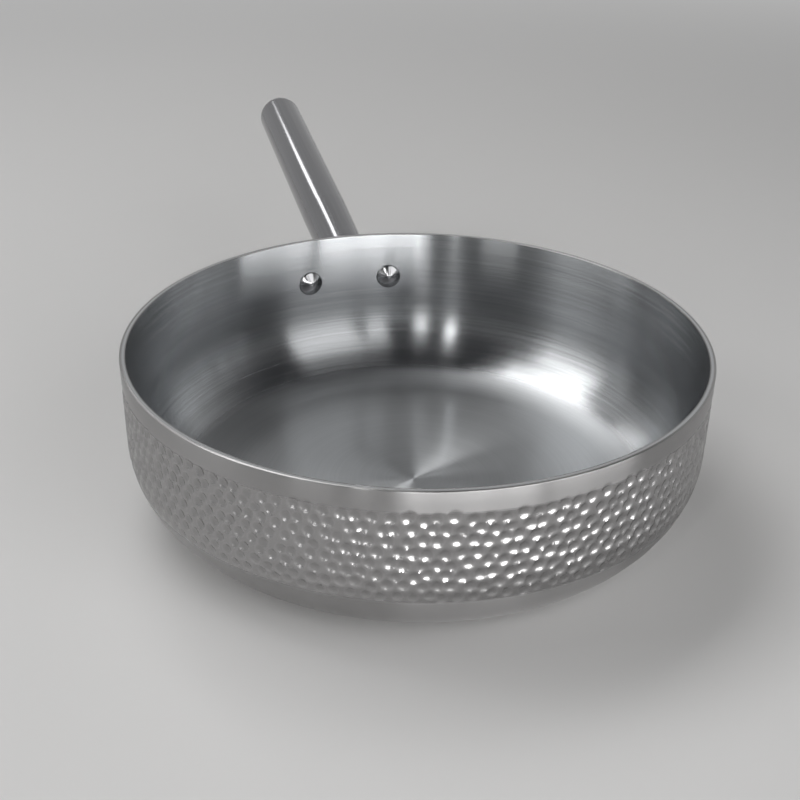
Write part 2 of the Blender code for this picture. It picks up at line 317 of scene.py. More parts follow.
def open_tube(name, lines, rings):
    """A tube of lines and rings, with a metre between rings, whose points are still to be placed."""
    select_nothing()
    bpy.ops.mesh.primitive_circle_add(vertices=lines, radius=1, fill_type="NOTHING")
    piece = named(name)
    bpy.ops.object.mode_set(mode="EDIT")
    for _ in range(rings - 1):
        bpy.ops.mesh.extrude_edges_move(TRANSFORM_OT_translate={"value": (0, 0, 1)})
    bpy.ops.object.mode_set(mode="OBJECT")
    return piece


def place_points(piece, lines, place):
    """Moves each point of an open tube to its place, given its line and its ring."""
    for point in piece.data.vertices:
        line = round(math.atan2(point.co.x, point.co.y) / (2 * math.pi) * lines) % lines
        point.co = place(line, round(point.co.z))


def close_ends(piece):
    """Fills the two open ends of a tube and turns its faces outwards."""
    select_only(piece)
    bpy.ops.object.mode_set(mode="EDIT")
    bpy.ops.mesh.select_all(action="SELECT")
    bpy.ops.mesh.remove_doubles(threshold=1e-7)
    bpy.ops.mesh.select_all(action="DESELECT")
    bpy.ops.mesh.select_mode(type="EDGE")
    bpy.ops.mesh.select_non_manifold(extend=False)
    bpy.ops.mesh.edge_face_add()
    bpy.ops.mesh.select_all(action="SELECT")
    bpy.ops.mesh.normals_make_consistent(inside=False)
    bpy.ops.mesh.select_mode(type="VERT")
    bpy.ops.object.mode_set(mode="OBJECT")


def cut_holes(piece, pan, bracket, rivet):
    """Drills a piece on both rivets' lines with a turned cutter."""
    for side in (-1, 1):
        cutter = spin_profile("hole_cutter", hole_profile(pan, bracket, rivet), 48)
        aim_along_rivet(cutter, side, pan, rivet)
        select_only(piece)
        drill = piece.modifiers.new("Drill", "BOOLEAN")
        drill.operation = "DIFFERENCE"
        drill.solver = "MANIFOLD"
        drill.object = cutter
        bpy.ops.object.modifier_apply(modifier=drill.name)
        select_only(cutter)
        bpy.ops.object.delete()


def aim_along_rivet(piece, side, pan, rivet):
    """Lays a piece made about Z on a rivet's line, out from the pan's axis."""
    turn = math.asin(rivet.spacing / 2 / pan.radius)
    piece.location = (0, 0, pan.height - rivet.drop)
    piece.rotation_euler = (-math.pi / 2, 0, -side * turn)
    settle(piece)


def aim_along_handle(piece, pan, handle):
    """Lays a piece made about Z on the handle's axis, from the wall outwards."""
    piece.location = (0, pan.radius, pan.height - handle.drop)
    piece.rotation_euler = (handle.rise - math.pi / 2, 0, 0)
    settle(piece)


def arc(centre, radius, start, end, steps):
    """Points on an arc about a (radius, height) centre. Angles start straight outwards and go up."""
    turns = [start + (end - start) * i / steps for i in range(steps + 1)]
    return [(centre[0] + radius * math.cos(t), centre[1] + radius * math.sin(t)) for t in turns]


def line_points(start, end, steps):
    """Points on a straight line, without its first."""
    return [
        (start[0] + (end[0] - start[0]) * i / steps, start[1] + (end[1] - start[1]) * i / steps)
        for i in range(1, steps + 1)
    ]


def foot_of_wall(pan, depth, steps):
    """The corner and base of the surface this deep in the metal, from the wall's foot to the axis."""
    centre = (pan.radius - pan.corner, pan.corner)
    return arc(centre, pan.corner - depth, 0, -math.pi / 2, steps) + [(0, depth)]


def hole_profile(pan, bracket, rivet):
    """The cutter for a rivet: its hole through the wall, widened to a flat seat on the plate."""
    far = pan.radius + bracket.plate + bracket.flare
    spot = pan.radius + bracket.plate - rivet.spot_face
    near = pan.radius - pan.thickness - 0.004
    outer_end = [(0, far), (rivet.spot_radius, far), (rivet.spot_radius, spot)]
    return outer_end + [(rivet.hole, spot), (rivet.hole, near), (0, near)]


class Socket:
    """A shader socket that sums are written on."""

    def __init__(self, graph, output):
        self.graph = graph
        self.output = output

    def __add__(self, other):
        return self.graph.math("ADD", self, other)

    def __radd__(self, other):
        return self.graph.math("ADD", other, self)

    def __sub__(self, other):
        return self.graph.math("SUBTRACT", self, other)

    def __rsub__(self, other):
        return self.graph.math("SUBTRACT", other, self)

    def __mul__(self, other):
        return self.graph.math("MULTIPLY", self, other)

    def __rmul__(self, other):
        return self.graph.math("MULTIPLY", other, self)

    def __pow__(self, other):
        return self.graph.math("POWER", self, other)

    def __rpow__(self, other):
        return self.graph.math("POWER", other, self)


class Graph:
    """The nodes of a material or of the world."""

    def __init__(self, owner):
        owner.use_nodes = True
        self.tree = owner.node_tree

    def fill(self, socket, value):
        """Sets a socket to a number or colour, or links it."""
        if isinstance(value, Socket):
            self.tree.links.new(value.output, socket)
        elif socket.type == "RGBA" and len(value) == 3:
            socket.default_value = (*value, 1)
        else:
            socket.default_value = value

    def node(self, kind, settings=None, inputs=(), output=0):
        """Adds a node, with its settings first and then its inputs, and gives one of its outputs."""
        made = self.tree.nodes.new(kind)
        for key, value in (settings or {}).items():
            if key == "stops":
                self.set_stops(made.color_ramp, value)
            else:
                setattr(made, key, value)
        pairs = inputs.items() if isinstance(inputs, dict) else enumerate(inputs)
        for key, value in pairs:
            self.fill(made.inputs[key], value)
        return Socket(self, made.outputs[output])

    def set_stops(self, ramp, stops):
        """Gives a ramp its stops, each a position and a grey."""
        while len(ramp.elements) < len(stops):
            ramp.elements.new(0.5)
        for element, (position, grey) in zip(ramp.elements, stops):
            element.position = position
            element.color = (grey, grey, grey, 1)

    def math(self, operation, first, second):
        return self.node("ShaderNodeMath", {"operation": operation}, [first, second])

    def parts(self, vector):
        """The X, Y and Z of a vector."""
        split = self.node("ShaderNodeSeparateXYZ", inputs=[vector]).output.node
        return [Socket(self, output) for output in split.outputs]

    def blend(self, factor, first, second):
        """A colour between two."""
        inputs = {MIX_FACTOR: factor, MIX_FIRST: first, MIX_SECOND: second}
        return self.node("ShaderNodeMix", {"data_type": "RGBA"}, inputs, MIX_RESULT)

    def fade(self, value, start, end, first=0.0, last=1.0, shape="SMOOTHSTEP"):
        """A number that goes from first to last while the value goes from start to end."""
        inputs = {"Value": value, "From Min": start, "From Max": end, "To Min": first, "To Max": last}
        return self.node("ShaderNodeMapRange", {"interpolation_type": shape}, inputs)

    def seen(self):
        """1 for what the camera sees, straight, mirrored or through glass, and 0 for light that scatters."""
        rays = self.node("ShaderNodeLightPath").output.node.outputs
        straight, mirrored, through = (
            Socket(self, rays[name]) for name in ("Is Camera Ray", "Is Glossy Ray", "Is Transmission Ray")
        )
        return self.math("MAXIMUM", self.math("MAXIMUM", straight, mirrored), through)


class Finish(Graph):
    """A material, with the Principled shader that it starts from and what is laid over it."""

    def __init__(self, name, **values):
        self.material = bpy.data.materials.new(name)
        super().__init__(self.material)
        self.shader = self.tree.nodes["Principled BSDF"]
        self.surface = Socket(self, self.shader.outputs[0])
        for socket, value in values.items():
            self.put(socket.replace("_", " "), value)

    def put(self, socket, value):
        """Sets a socket of the Principled shader to a number or colour, or links it."""
        self.fill(self.shader.inputs[socket], value)

    def place(self, **mapping):
        """Object coordinates, moved and turned by a Mapping node where values are given."""
        place = self.node("ShaderNodeTexCoord", output="Object")
        if mapping:
            inputs = {"Vector": place, **{key.title(): value for key, value in mapping.items()}}
            place = self.node("ShaderNodeMapping", {"vector_type": "TEXTURE"}, inputs)
        return place

    def distance(self, x, y):
        """How far a place is from the axis."""
        return (x * x + y * y) ** 0.5

    def noise(self, vector, scale, detail=2.0, roughness=0.5, **inputs):
        """Noise from 0 to 1 about a half, in three dimensions, or in four where W is given."""
        settings = {"noise_dimensions": "4D" if "W" in inputs else "3D"}
        inputs = {"Vector": vector, "Scale": scale, "Detail": detail, "Roughness": roughness, **inputs}
        return self.node("ShaderNodeTexNoise", settings, inputs, "Fac")

    def streaks(self, parts, scales, **values):
        """Noise that is stretched or squeezed by its own scale along each axis."""
        scaled = [part * scale for part, scale in zip(parts, scales)]
        return self.noise(self.node("ShaderNodeCombineXYZ", inputs=scaled), 1.0, **values)

    def rings(self, radius, scale, detail):
        """Noise that changes with the distance from the axis alone."""
        inputs = {"W": radius, "Scale": scale, "Detail": detail}
        return self.node("ShaderNodeTexNoise", {"noise_dimensions": "1D"}, inputs)

    def tones(self, factor, tint, dark, light):
        """A tint between these two shares of itself."""
        return self.blend(factor, [c * dark for c in tint], [min(1, c * light) for c in tint])

    def bump(self, height, distance, after=None):
        """A normal raised by a height from 0 to 1 times a distance in metres."""
        inputs = {"Height": height, "Distance": distance, "Strength": 1.0}
        if after:
            inputs["Normal"] = after
        return self.node("ShaderNodeBump", inputs=inputs)

    def cover(self, factor, shader):
        """Lays another shader over the surface where the factor is 1."""
        self.surface = self.node("ShaderNodeMixShader", inputs=[factor, self.surface, shader])
        self.fill(self.tree.nodes["Material Output"].inputs["Surface"], self.surface)

    def fade_to(self, factor, glow):
        """Turns into a plain glow of one colour where the factor is 1, for the camera and for reflections."""
        shine = self.node("ShaderNodeEmission", inputs={"Color": glow})
        self.cover(factor * self.seen(), shine)

    def mix_in(self, factor, values):
        """Turns into another metal where the factor is 1."""
        self.cover(factor, self.node("ShaderNodeBsdfPrincipled", inputs=values))


def polished_outside(tint):
    """Polished steel that stretches highlights up and down, and mirrors more evenly in the hammered belt,
    where painted shade darkens the hollows of the marks and painted light brightens their ridges.
    """
    finish = Finish("polished_hammered_steel", Metallic=1.0, Anisotropic=1.0, Anisotropic_Rotation=0.25)
    place = finish.place()
    x, y, z = finish.parts(place)
    haze = finish.noise(place, 60, detail=4)
    hairs = finish.streaks((x, y, z), (12, 12, 1500), detail=3)
    # Painted shade and painted light: the base colour is darker in the hollows of the marks and lighter near
    # their ridges, and the ridges are also a little smoother
    worn = finish.node("ShaderNodeAttribute", {"attribute_name": "worn"}, output="Fac")
    painted_shade_and_polish = finish.node("ShaderNodeValToRGB", {"stops": HOLLOW_SHADE_AND_POLISH}, [worn])
    painted_shade_and_polish = painted_shade_and_polish * 0.8 + haze * 0.2
    metal = finish.tones(painted_shade_and_polish, tint, 0.82, 1.14)
    normal = finish.bump(hairs, 0.000004)
    finish.put("Base Color", metal)
    finish.put("Roughness", 0.25 + haze * 0.04 + hairs * 0.06)
    finish.put("Normal", normal)
    struck = {
        "Base Color": metal,
        "Metallic": 1.0,
        "Roughness": 0.24 - painted_shade_and_polish * 0.04 + haze * 0.04 + hairs * 0.02,
        "Anisotropic": 0.1,
        "Anisotropic Rotation": 0.25,
        "Normal": finish.bump(finish.noise(place, 150, detail=2), 0.00005, normal),
    }
    under_top = finish.fade(z, *BELT_TOP, shape="LINEAR")
    over_foot = finish.fade(z, *BELT_FOOT, shape="LINEAR")
    finish.mix_in(under_top * over_foot, struck)
    return finish.material


def polished_rim(tint):
    """The ground and polished top edge of the inner steel, with fine lines that run round it."""
    finish = Finish("polished_rim", Metallic=1.0)
    x, y, _ = finish.parts(finish.place())
    lines = finish.rings(finish.distance(x, y), 9000, 2)
    finish.put("Base Color", finish.tones(lines, tint, 0.8, 1.1))
    finish.put("Roughness", 0.05 + lines * 0.04)
    return finish.material


def brushed_inside(tint):
    """Steel brushed round the wall, satin on the floor and turned about the floor's centre."""
    finish = Finish("brushed_steel", Metallic=1.0, Anisotropic=1.0, Anisotropic_Rotation=0.25)
    place = finish.place()
    x, y, z = finish.parts(place)
    radius = finish.distance(x, y)
    grain = finish.streaks((x, y, z), (14, 14, 1500), detail=3, roughness=0.6, W=radius * 1500)
    bands = finish.streaks((x, y, z), (6, 6, 260), detail=2, W=radius * 260)
    cloud = finish.noise(place, 24, detail=3)
    tone = (grain * 0.75 + bands * 0.25 - 0.5) * 1.8 + 0.5
    normal = finish.bump(grain, 0.000008)
    finish.put("Base Color", finish.tones(tone, tint, 0.76, 1.24))
    finish.put("Roughness", 0.19 + grain * 0.08 + bands * 0.025 + cloud * 0.02)
    finish.put("Normal", normal)
    satin = {
        "Base Color": finish.tones(tone, tint, 0.84, 0.98),
        "Metallic": 1.0,
        "Roughness": 0.38 + grain * 0.05 + cloud * 0.04,
        "Anisotropic": 0.3,
        "Anisotropic Rotation": 0.25,
        "Normal": normal,
    }
    turned = {**satin, "Roughness": 0.24 + grain * 0.08 + bands * 0.03, "Anisotropic": 1.0}
    on_floor = finish.fade(z, *FLOOR_EDGE, first=1.0, last=0.0)
    near_centre = finish.fade(radius, *TURNED_CENTRE, first=0.7, last=0.1)
    finish.mix_in(on_floor, satin)
    finish.mix_in(on_floor * near_centre, turned)
    return finish.material


def rim_aluminium(tint):
    """Polished aluminium, which shows only as a line in the rim."""
    finish = Finish("aluminium_core", Metallic=1.0)
    grain = finish.noise(finish.place(), 900, detail=2)
    finish.put("Base Color", finish.tones(grain, tint, 0.9, 1.0))
    finish.put("Roughness", 0.07 + grain * 0.05)
    return finish.material


def polished_handle(tint, pan, handle):
    """Polished bar, with hair lines that run its length and the slight waves of hand polishing."""
    finish = Finish("polished_handle_steel", Metallic=1.0)
    foot = (0, pan.radius, pan.height - handle.drop)
    parts = finish.parts(finish.place(location=foot, rotation=(handle.rise, 0, 0)))
    lines = finish.streaks(parts, (900, 12, 900), detail=3)
    waves = finish.streaks(parts, (60, 22, 60), detail=1)
    finish.put("Base Color", finish.tones(lines, tint, 0.84, 1.14))
    finish.put("Roughness", 0.09 + lines * 0.09)
    finish.put("Normal", finish.bump(lines, 0.000003, finish.bump(waves, 0.00006)))
    return finish.material


def turned_rivet(name, tint, side, pan, rivet):
    """Steel turned on a lathe: fine rings about the rivet's own line."""
    finish = Finish(name, Metallic=1.0)
    turn = math.asin(rivet.spacing / 2 / pan.radius)
    centre = (0, 0, pan.height - rivet.drop)
    x, y, _ = finish.parts(finish.place(location=centre, rotation=(-math.pi / 2, 0, -side * turn)))
    rings = finish.rings(finish.distance(x, y), 5200, 3)
    finish.put("Base Color", finish.tones(rings, tint, 0.85, 1.1))
    finish.put("Roughness", 0.10 + rings * 0.12)
    finish.put("Normal", finish.bump(rings, 0.000006))
    return finish.material


def blows_of_hammer(hammer, pan):
    """Where each blow lands, as arrays by row and column: round the pan, down the wall, and how deep."""
    scatter = random.Random(hammer.seed)
    blows = np.empty((hammer.rows, hammer.marks_round, 3))
    for row in range(hammer.rows):
        softer = LAST_ROW_FORCE if row == hammer.rows - 1 else 1.0
        for column in range(hammer.marks_round):
            around = (column + row % 2 / 2) / hammer.marks_round * 2 * math.pi * pan.radius
            down = hammer.smooth_band + (row + 0.5) * hammer.pitch
            force = scatter.uniform(*BLOW_FORCE) * softer
            around += scatter.uniform(-1, 1) * hammer.scatter
            down += scatter.uniform(-1, 1) * hammer.scatter
            blows[row, column] = (around, down, hammer.depth * force)
    return blows


def unroll_belt(points, pan, hammer):
    """Which points lie where the marks are, and their places on the outside: round the pan, and down it."""
    radius = np.hypot(points[:, 0], points[:, 1])
    out = radius - (pan.radius - pan.corner)
    below = pan.corner - points[:, 2]
    bend = np.arctan2(below, out)
    straight = pan.height - pan.corner
    on_wall = (below <= 0) & (radius > pan.radius - ON_SURFACE)
    on_corner = (below > 0) & (np.hypot(out, below) > pan.corner - ON_SURFACE) & (out > 0)
    down = np.where(on_wall, pan.height - points[:, 2], straight + pan.corner * bend)
    high = hammer.smooth_band - hammer.pitch / 3
    low = hammer.smooth_band + (hammer.rows + 1 / 3) * hammer.pitch
    struck = np.flatnonzero((on_wall | on_corner) & (down > high) & (down < low))
    girth = 2 * math.pi * pan.radius
    around = np.arctan2(points[struck, 1], points[struck, 0]) * pan.radius % girth
    return struck, np.stack([around, down[struck]], axis=1)


def deepest_marks(here, pan, hammer):
    """How deep the three deepest marks at each point reach, and the way to the middles of two of them."""
    blows = blows_of_hammer(hammer, pan)
    girth = 2 * math.pi * pan.radius
    first = np.full(len(here), -1.0)
    second = np.full(len(here), -1.0)
    third = np.full(len(here), -1.0)
    to_first = np.ones((len(here), 2))
    to_second = np.ones((len(here), 2))
    for row in range(hammer.rows):
        nearest = np.rint(here[:, 0] / girth * hammer.marks_round - row % 2 / 2).astype(int)
        for step in (-2, -1, 0, 1, 2):
            blow = blows[row, (nearest + step) % hammer.marks_round]
            away = blow[:, :2] - here
            away[:, 0] = (away[:, 0] + girth / 2) % girth - girth / 2
            sunk = blow[:, 2] - (away**2).sum(axis=1) / (2 * hammer.face_radius)
            deepest = sunk > first
            next_deepest = (sunk > second) & ~deepest
            third = np.where(deepest | next_deepest, second, np.maximum(third, sunk))
            second = np.where(deepest, first, np.where(next_deepest, sunk, second))
            to_second = np.where(next_deepest[:, None], away, to_second)
            to_second = np.where(deepest[:, None], to_first, to_second)
            first = np.where(deepest, sunk, first)
            to_first = np.where(deepest[:, None], away, to_first)
    return first, second, third, to_first, to_second


def sink_marks(here, pan, hammer, spacing):
    """Draws points sideways onto the ridges and rims of the marks. Gives their places and depths."""
    first, second, third, to_first, to_second = deepest_marks(here, pan, hammer)
    between = to_second - to_first
    apart = np.hypot(between[:, 0], between[:, 1]) + NOT_ZERO
    from_first = np.hypot(to_first[:, 0], to_first[:, 1]) + NOT_ZERO
    to_ridge = (first - second) * hammer.face_radius / apart
    to_third = (first - third) * hammer.face_radius / apart
    to_edge = first * hammer.face_radius / from_first
    alone = to_third > spacing * 0.8
    ridge = (first > 0) & (to_ridge < spacing / 2) & alone & (second > -0.00002)
    edge = ~ridge & (np.abs(to_edge) < spacing / 2)
    shift = np.where(ridge[:, None], between / apart[:, None] * to_ridge[:, None], 0)
    shift = np.where(edge[:, None], -to_first / from_first[:, None] * to_edge[:, None], shift)
    nearer = (to_first**2).sum(axis=1) - ((to_first - shift) ** 2).sum(axis=1)
    first += nearer / (2 * hammer.face_radius)
    return here + shift, np.where(edge, 0, np.maximum(first, 0))


def roll_up(here, sunk, pan):
    """The points in space that lie at these places on the outside, this deep in the metal."""
    turn = here[:, 0] / pan.radius
    lean = np.maximum(here[:, 1] - (pan.height - pan.corner), 0) / pan.corner
    on_corner = pan.radius - pan.corner + (pan.corner - sunk) * np.cos(lean)
    radius = np.where(lean > 0, on_corner, pan.radius - sunk)
    height = np.where(lean > 0, pan.corner - (pan.corner - sunk) * np.sin(lean), pan.height - here[:, 1])
    return np.stack([radius * np.cos(turn), radius * np.sin(turn), height], axis=1)


def hammer_wall(piece, pan, hammer, spacing):
    """Sinks the marks of the hammer into the outside of the shell, and notes how high each point stands in
    its mark, from which the outside finish paints shade into the hollows and light onto the ridges.
    """
    count = len(piece.data.vertices)
    points = np.empty(count * 3, np.float32)
    piece.data.vertices.foreach_get("co", points)
    points = points.reshape(-1, 3).astype(float)
    struck, here = unroll_belt(points, pan, hammer)
    here, sunk = sink_marks(here, pan, hammer, spacing)
    points[struck] = roll_up(here, sunk, pan)
    piece.data.vertices.foreach_set("co", points.astype(np.float32).ravel())
    # 1 at the surface and 0 at a mark's deepest point; the outside finish paints shade and light from it
    worn = np.ones(count, np.float32)
    worn[struck] = 1 - sunk / hammer.depth
    piece.data.attributes.new("worn", "FLOAT", "POINT").data.foreach_set("value", worn)
    piece.data.update()


class PAN_OT_outer_shell(bpy.types.Operator):
    """Spins the outer steel, hammers its belt and drills it for the rivets"""

    bl_idname = "pan.outer_shell"
    bl_label = "Hammered outer shell"

    def execute(self, context):
        pan, hammer, _, bracket, rivet = all_settings()
        belt_steps = hammer.marks_round * POINTS_PER_MARK
        plain_steps = belt_steps // 4
        margin = 0.0018
        gap = 0.0008
        rings = 62
        start = hammer.smooth_band - margin
        end = hammer.smooth_band + hammer.rows * hammer.pitch + margin
        last = math.pi / 2 * pan.corner + pan.height - pan.corner
        bevel_centre = (pan.radius - pan.outer_bevel, pan.height - pan.outer_bevel)
        above = foot_of_wall(pan, pan.outer_layer, 12)[::-1]
        above += [(pan.radius - pan.outer_layer, pan.height)]
        above += arc(bevel_centre, pan.outer_bevel, math.pi / 2, 0, 4)
        above += [self.on_outside(pan, start - gap)]
        belt = self.run_down(pan, start, end, rings)
        below = self.run_down(pan, end + gap, last, 10) + [(0, 0)]
        strips = [
            spin_profile("hammered_shell", above, plain_steps),
            spin_profile("belt", belt, belt_steps),
            spin_profile("below", below, plain_steps),
        ]
        piece = join_strips("hammered_shell", strips)
        hammer_wall(piece, pan, hammer, 2 * math.pi * pan.radius / belt_steps)
        cut_holes(piece, pan, bracket, rivet)
        shade(piece)
        finish = polished_outside(context.scene.pan_finish.outside)
        hand_over(piece, "outer_shell", finish)
        return {"FINISHED"}

    def run_down(self, pan, start, end, steps):
        """Evenly spaced points on the outside, between two distances from the rim."""
        return [self.on_outside(pan, start + (end - start) * i / steps) for i in range(steps + 1)]

    def on_outside(self, pan, down):
        """The point this far down the outside from the rim, along the wall and then the corner."""
        straight = pan.height - pan.corner
        if down <= straight:
            return (pan.radius, pan.height - down)
        turn = (down - straight) / pan.corner
        centre = pan.radius - pan.corner
        return (centre + pan.corner * math.cos(turn), pan.corner - pan.corner * math.sin(turn))


class PAN_OT_inner_layers(bpy.types.Operator):
    """Spins the aluminium core and the brushed inner steel, and drills them for the rivets"""

    bl_idname = "pan.inner_layers"
    bl_label = "Core and brushed liner"

    def execute(self, context):
        pan, _, _, bracket, rivet = all_settings()
        tints = context.scene.pan_finish
        core_outside = pan.outer_layer + pan.seam
        core_inside = pan.inner_start - pan.seam
        top = pan.height - 0.00003
        inside = foot_of_wall(pan, core_inside, 16)[::-1] + [(pan.radius - core_inside, top)]
        outside = [(pan.radius - core_outside, top)] + foot_of_wall(pan, core_outside, 16)
        core = spin_profile("bonded_core", inside + outside, 240)

        face = pan.radius - pan.thickness
        bevel_centre = (face + pan.inner_bevel, pan.height - pan.inner_bevel)
        inside = foot_of_wall(pan, pan.thickness, 28)[::-1]
        rim = arc(bevel_centre, pan.inner_bevel, math.pi, math.pi / 2, 3)
        outside = [(pan.radius - pan.inner_start, pan.height)] + foot_of_wall(pan, pan.inner_start, 16)
        liner = spin_profile("brushed_liner", inside + rim + outside, 360)

        for piece in (core, liner):
            cut_holes(piece, pan, bracket, rivet)
            shade(piece)
        hand_over(core, "aluminium_core", rim_aluminium(tints.core))
        hand_over(liner, "inner_liner", brushed_inside(tints.inside))
        liner.data.materials.append(polished_rim(tints.outside))
        for face in liner.data.polygons:
            if face.center.z > pan.height - pan.inner_bevel:
                face.material_index = 1
        return {"FINISHED"}


class PAN_OT_bracket(bpy.types.Operator):
    """Shapes the saddle plate with its ears, the flare and the neck, and cuts the rivets' seats"""

    bl_idname = "pan.bracket"
    bl_label = "Handle bracket"

    def execute(self, context):
        pan, _, handle, bracket, rivet = all_settings()
        lines = 120
        turns = [2 * math.pi * i / lines for i in range(lines)]
        table = [self.line_of_points(turn, pan, handle, bracket, rivet) for turn in turns]
        piece = open_tube("saddle_bracket", lines, len(table[0]))
        place_points(piece, lines, lambda line, ring: table[line][ring])
        close_ends(piece)
        cut_holes(piece, pan, bracket, rivet)
        shade(piece, math.radians(30))
        finish = polished_handle(context.scene.pan_finish.handle, pan, handle)
        hand_over(piece, "handle_bracket", finish)
        return {"FINISHED"}

    def plate_reach(self, turn, pan, handle, bracket, rivet):
        """How far the plate's edge is from the handle's foot: a hull of the neck's collar and two ears."""
        across = pan.radius * math.asin(rivet.spacing / 2 / pan.radius)
        down = handle.drop - rivet.drop
        collar = (0, 0, handle.radius + bracket.collar)
        discs = [collar, (across, down, bracket.ear), (-across, down, bracket.ear)]
        reach = math.inf
        for degrees in range(360):
            normal = 2 * math.pi * degrees / 360
            facing = math.cos(normal - turn)
            if facing > 0:
                support = max(x * math.cos(normal) + y * math.sin(normal) + r for x, y, r in discs)
                reach = min(reach, support / facing)
        return reach

    def line_of_points(self, turn, pan, handle, bracket, rivet):
        """A line of points from behind the plate, over its edge and the flare, to the end of the neck."""
        reach = self.plate_reach(turn, pan, handle, bracket, rivet)
        foot = pan.height - handle.drop
        edge_break = 0.0003

        def on_plate(from_foot, lift):
            around = from_foot * math.cos(turn) / pan.radius
            out = pan.radius + lift
            height = foot + from_foot * math.sin(turn)
            return Vector((out * math.sin(around), out * math.cos(around), height))

        def on_neck(radius, distance):
            along = Vector((0, math.cos(handle.rise), math.sin(handle.rise)))
            up = Vector((0, -math.sin(handle.rise), math.cos(handle.rise)))
            side = math.cos(turn) * Vector((1, 0, 0)) + math.sin(turn) * up
            return Vector((0, pan.radius, foot)) + distance * along + radius * side

        back = [on_plate(reach * i / 9, bracket.seat) for i in range(1, 9)]
        back += [on_plate(reach - edge_break, bracket.seat), on_plate(reach, bracket.seat + edge_break)]
        rounding = arc((bracket.edge, -bracket.edge), bracket.edge, math.pi, math.pi / 2, 5)
        edge = [on_plate(reach - inset, bracket.plate + height) for inset, height in rounding]
        neck = handle.radius - handle.waist
        foot_of_flare = min(reach - bracket.edge, neck + bracket.flare_foot)
        bend = (
            on_plate(reach - bracket.edge, bracket.plate),
            on_plate(foot_of_flare, bracket.plate),
            on_neck(neck, bracket.flare_bend),
            on_neck(neck, bracket.flare),
        )
        flare = []
        for i in range(1, 21):
            t = i / 20
            weights = ((1 - t) ** 3, 3 * t * (1 - t) ** 2, 3 * t * t * (1 - t), t**3)
            flare.append(sum((w * point for w, point in zip(weights, bend)), Vector()))
        rest = []
        for i in range(1, 7):
            t = i / 6
            radius = neck + handle.waist * t
            rest.append(on_neck(radius, bracket.flare + (handle.neck - bracket.flare) * t))
        return back + edge + flare + rest


class PAN_OT_grip(bpy.types.Operator):
    """Spins the hollow grip and its rounded end, and lays them on the handle's axis"""

    bl_idname = "pan.grip"
    bl_label = "Grip and rounded end"

    def execute(self, context):
        pan, _, handle, _, _ = all_settings()
        steps = 96
        low = handle.neck + pan.seam
        shoulder = handle.reach - handle.end_fillet
        high = shoulder - handle.end_land
        bore = handle.radius - handle.wall
        seat = high + pan.seam
        outside = [(handle.radius, high)] + line_points((handle.radius, high), (handle.radius, low), 8)
        hollow = [(bore, low), (bore, high), (handle.radius, high)]
        tube = spin_profile("grip_tube", outside + hollow, steps)
        fillet_centre = (handle.radius - handle.end_fillet, shoulder)
        fillet = arc(fillet_centre, handle.end_fillet, math.pi / 2, 0, 18)
        profile = [(0, handle.reach), *fillet, (handle.radius, seat), (0, seat)]
        end = spin_profile("grip_end", profile, steps)
        finish = polished_handle(context.scene.pan_finish.handle, pan, handle)
        for piece, node in ((tube, "handle_tube"), (end, "handle_end_cap")):
            aim_along_handle(piece, pan, handle)
            shade(piece)
            hand_over(piece, node, finish)
        return {"FINISHED"}


class PAN_OT_rivets(bpy.types.Operator):
    """Turns a rivet, with a pointed head inside and a domed tail outside, and copies it for the other side"""

    bl_idname = "pan.rivets"
    bl_label = "Rivets"

    def execute(self, context):
        pan, _, _, bracket, rivet = all_settings()
        tint = context.scene.pan_finish.rivets
        left = spin_profile("left_rivet", self.profile(pan, bracket, rivet), 72)
        right = copy_of(left, "right_rivet")
        for piece, side, name in ((left, -1, "left"), (right, 1, "right")):
            aim_along_rivet(piece, side, pan, rivet)
            shade(piece, math.radians(28))
            finish = turned_rivet("turned_" + name + "_rivet", tint, side, pan, rivet)
            hand_over(piece, "rivet_" + name, finish)
        return {"FINISHED"}

    def profile(self, pan, bracket, rivet):
        """The rivet's outline from the top of its tail to the tip of its head."""
        touch = 0.00001
        edge = 0.00015
        face = pan.radius - pan.thickness
        seat = face - rivet.head**2 / (2 * face) - touch
        tail_seat = pan.radius + bracket.plate - rivet.spot_face + touch
        tail_top = tail_seat + rivet.tail_land
        quarter = arc((0, 0), 1, math.pi / 2, 0, 10)
        dome = [(rivet.tail * x, tail_top + rivet.tail_dome * y) for x, y in quarter]
        shank = [(rivet.tail, tail_seat), (rivet.shank, tail_seat), (rivet.shank, seat)]
        land = [(rivet.head - edge, seat), (rivet.head, seat - edge)]
        return dome + shank + land + self.cone_points(rivet, seat - rivet.head_land, edge)

    def cone_points(self, rivet, rim, edge):
        """The head's cone, slightly full, from its land to its rounded tip."""
        foot = rim - edge * 0.4
        points = [(rivet.head, rim + edge), (rivet.head - edge, foot)]
        for i in range(1, 13):
            t = i / 13
            radius = (rivet.head - edge) * (1 - t)
            rise = rivet.head_cone * (t + 0.10 * math.sin(math.pi * t))
            round_off = 0.00025 * math.exp(-((radius / rivet.tip) ** 2))
            points.append((radius, foot - (rise - round_off) * 0.97))
        points.append((0, rim - rivet.head_cone))
        return points


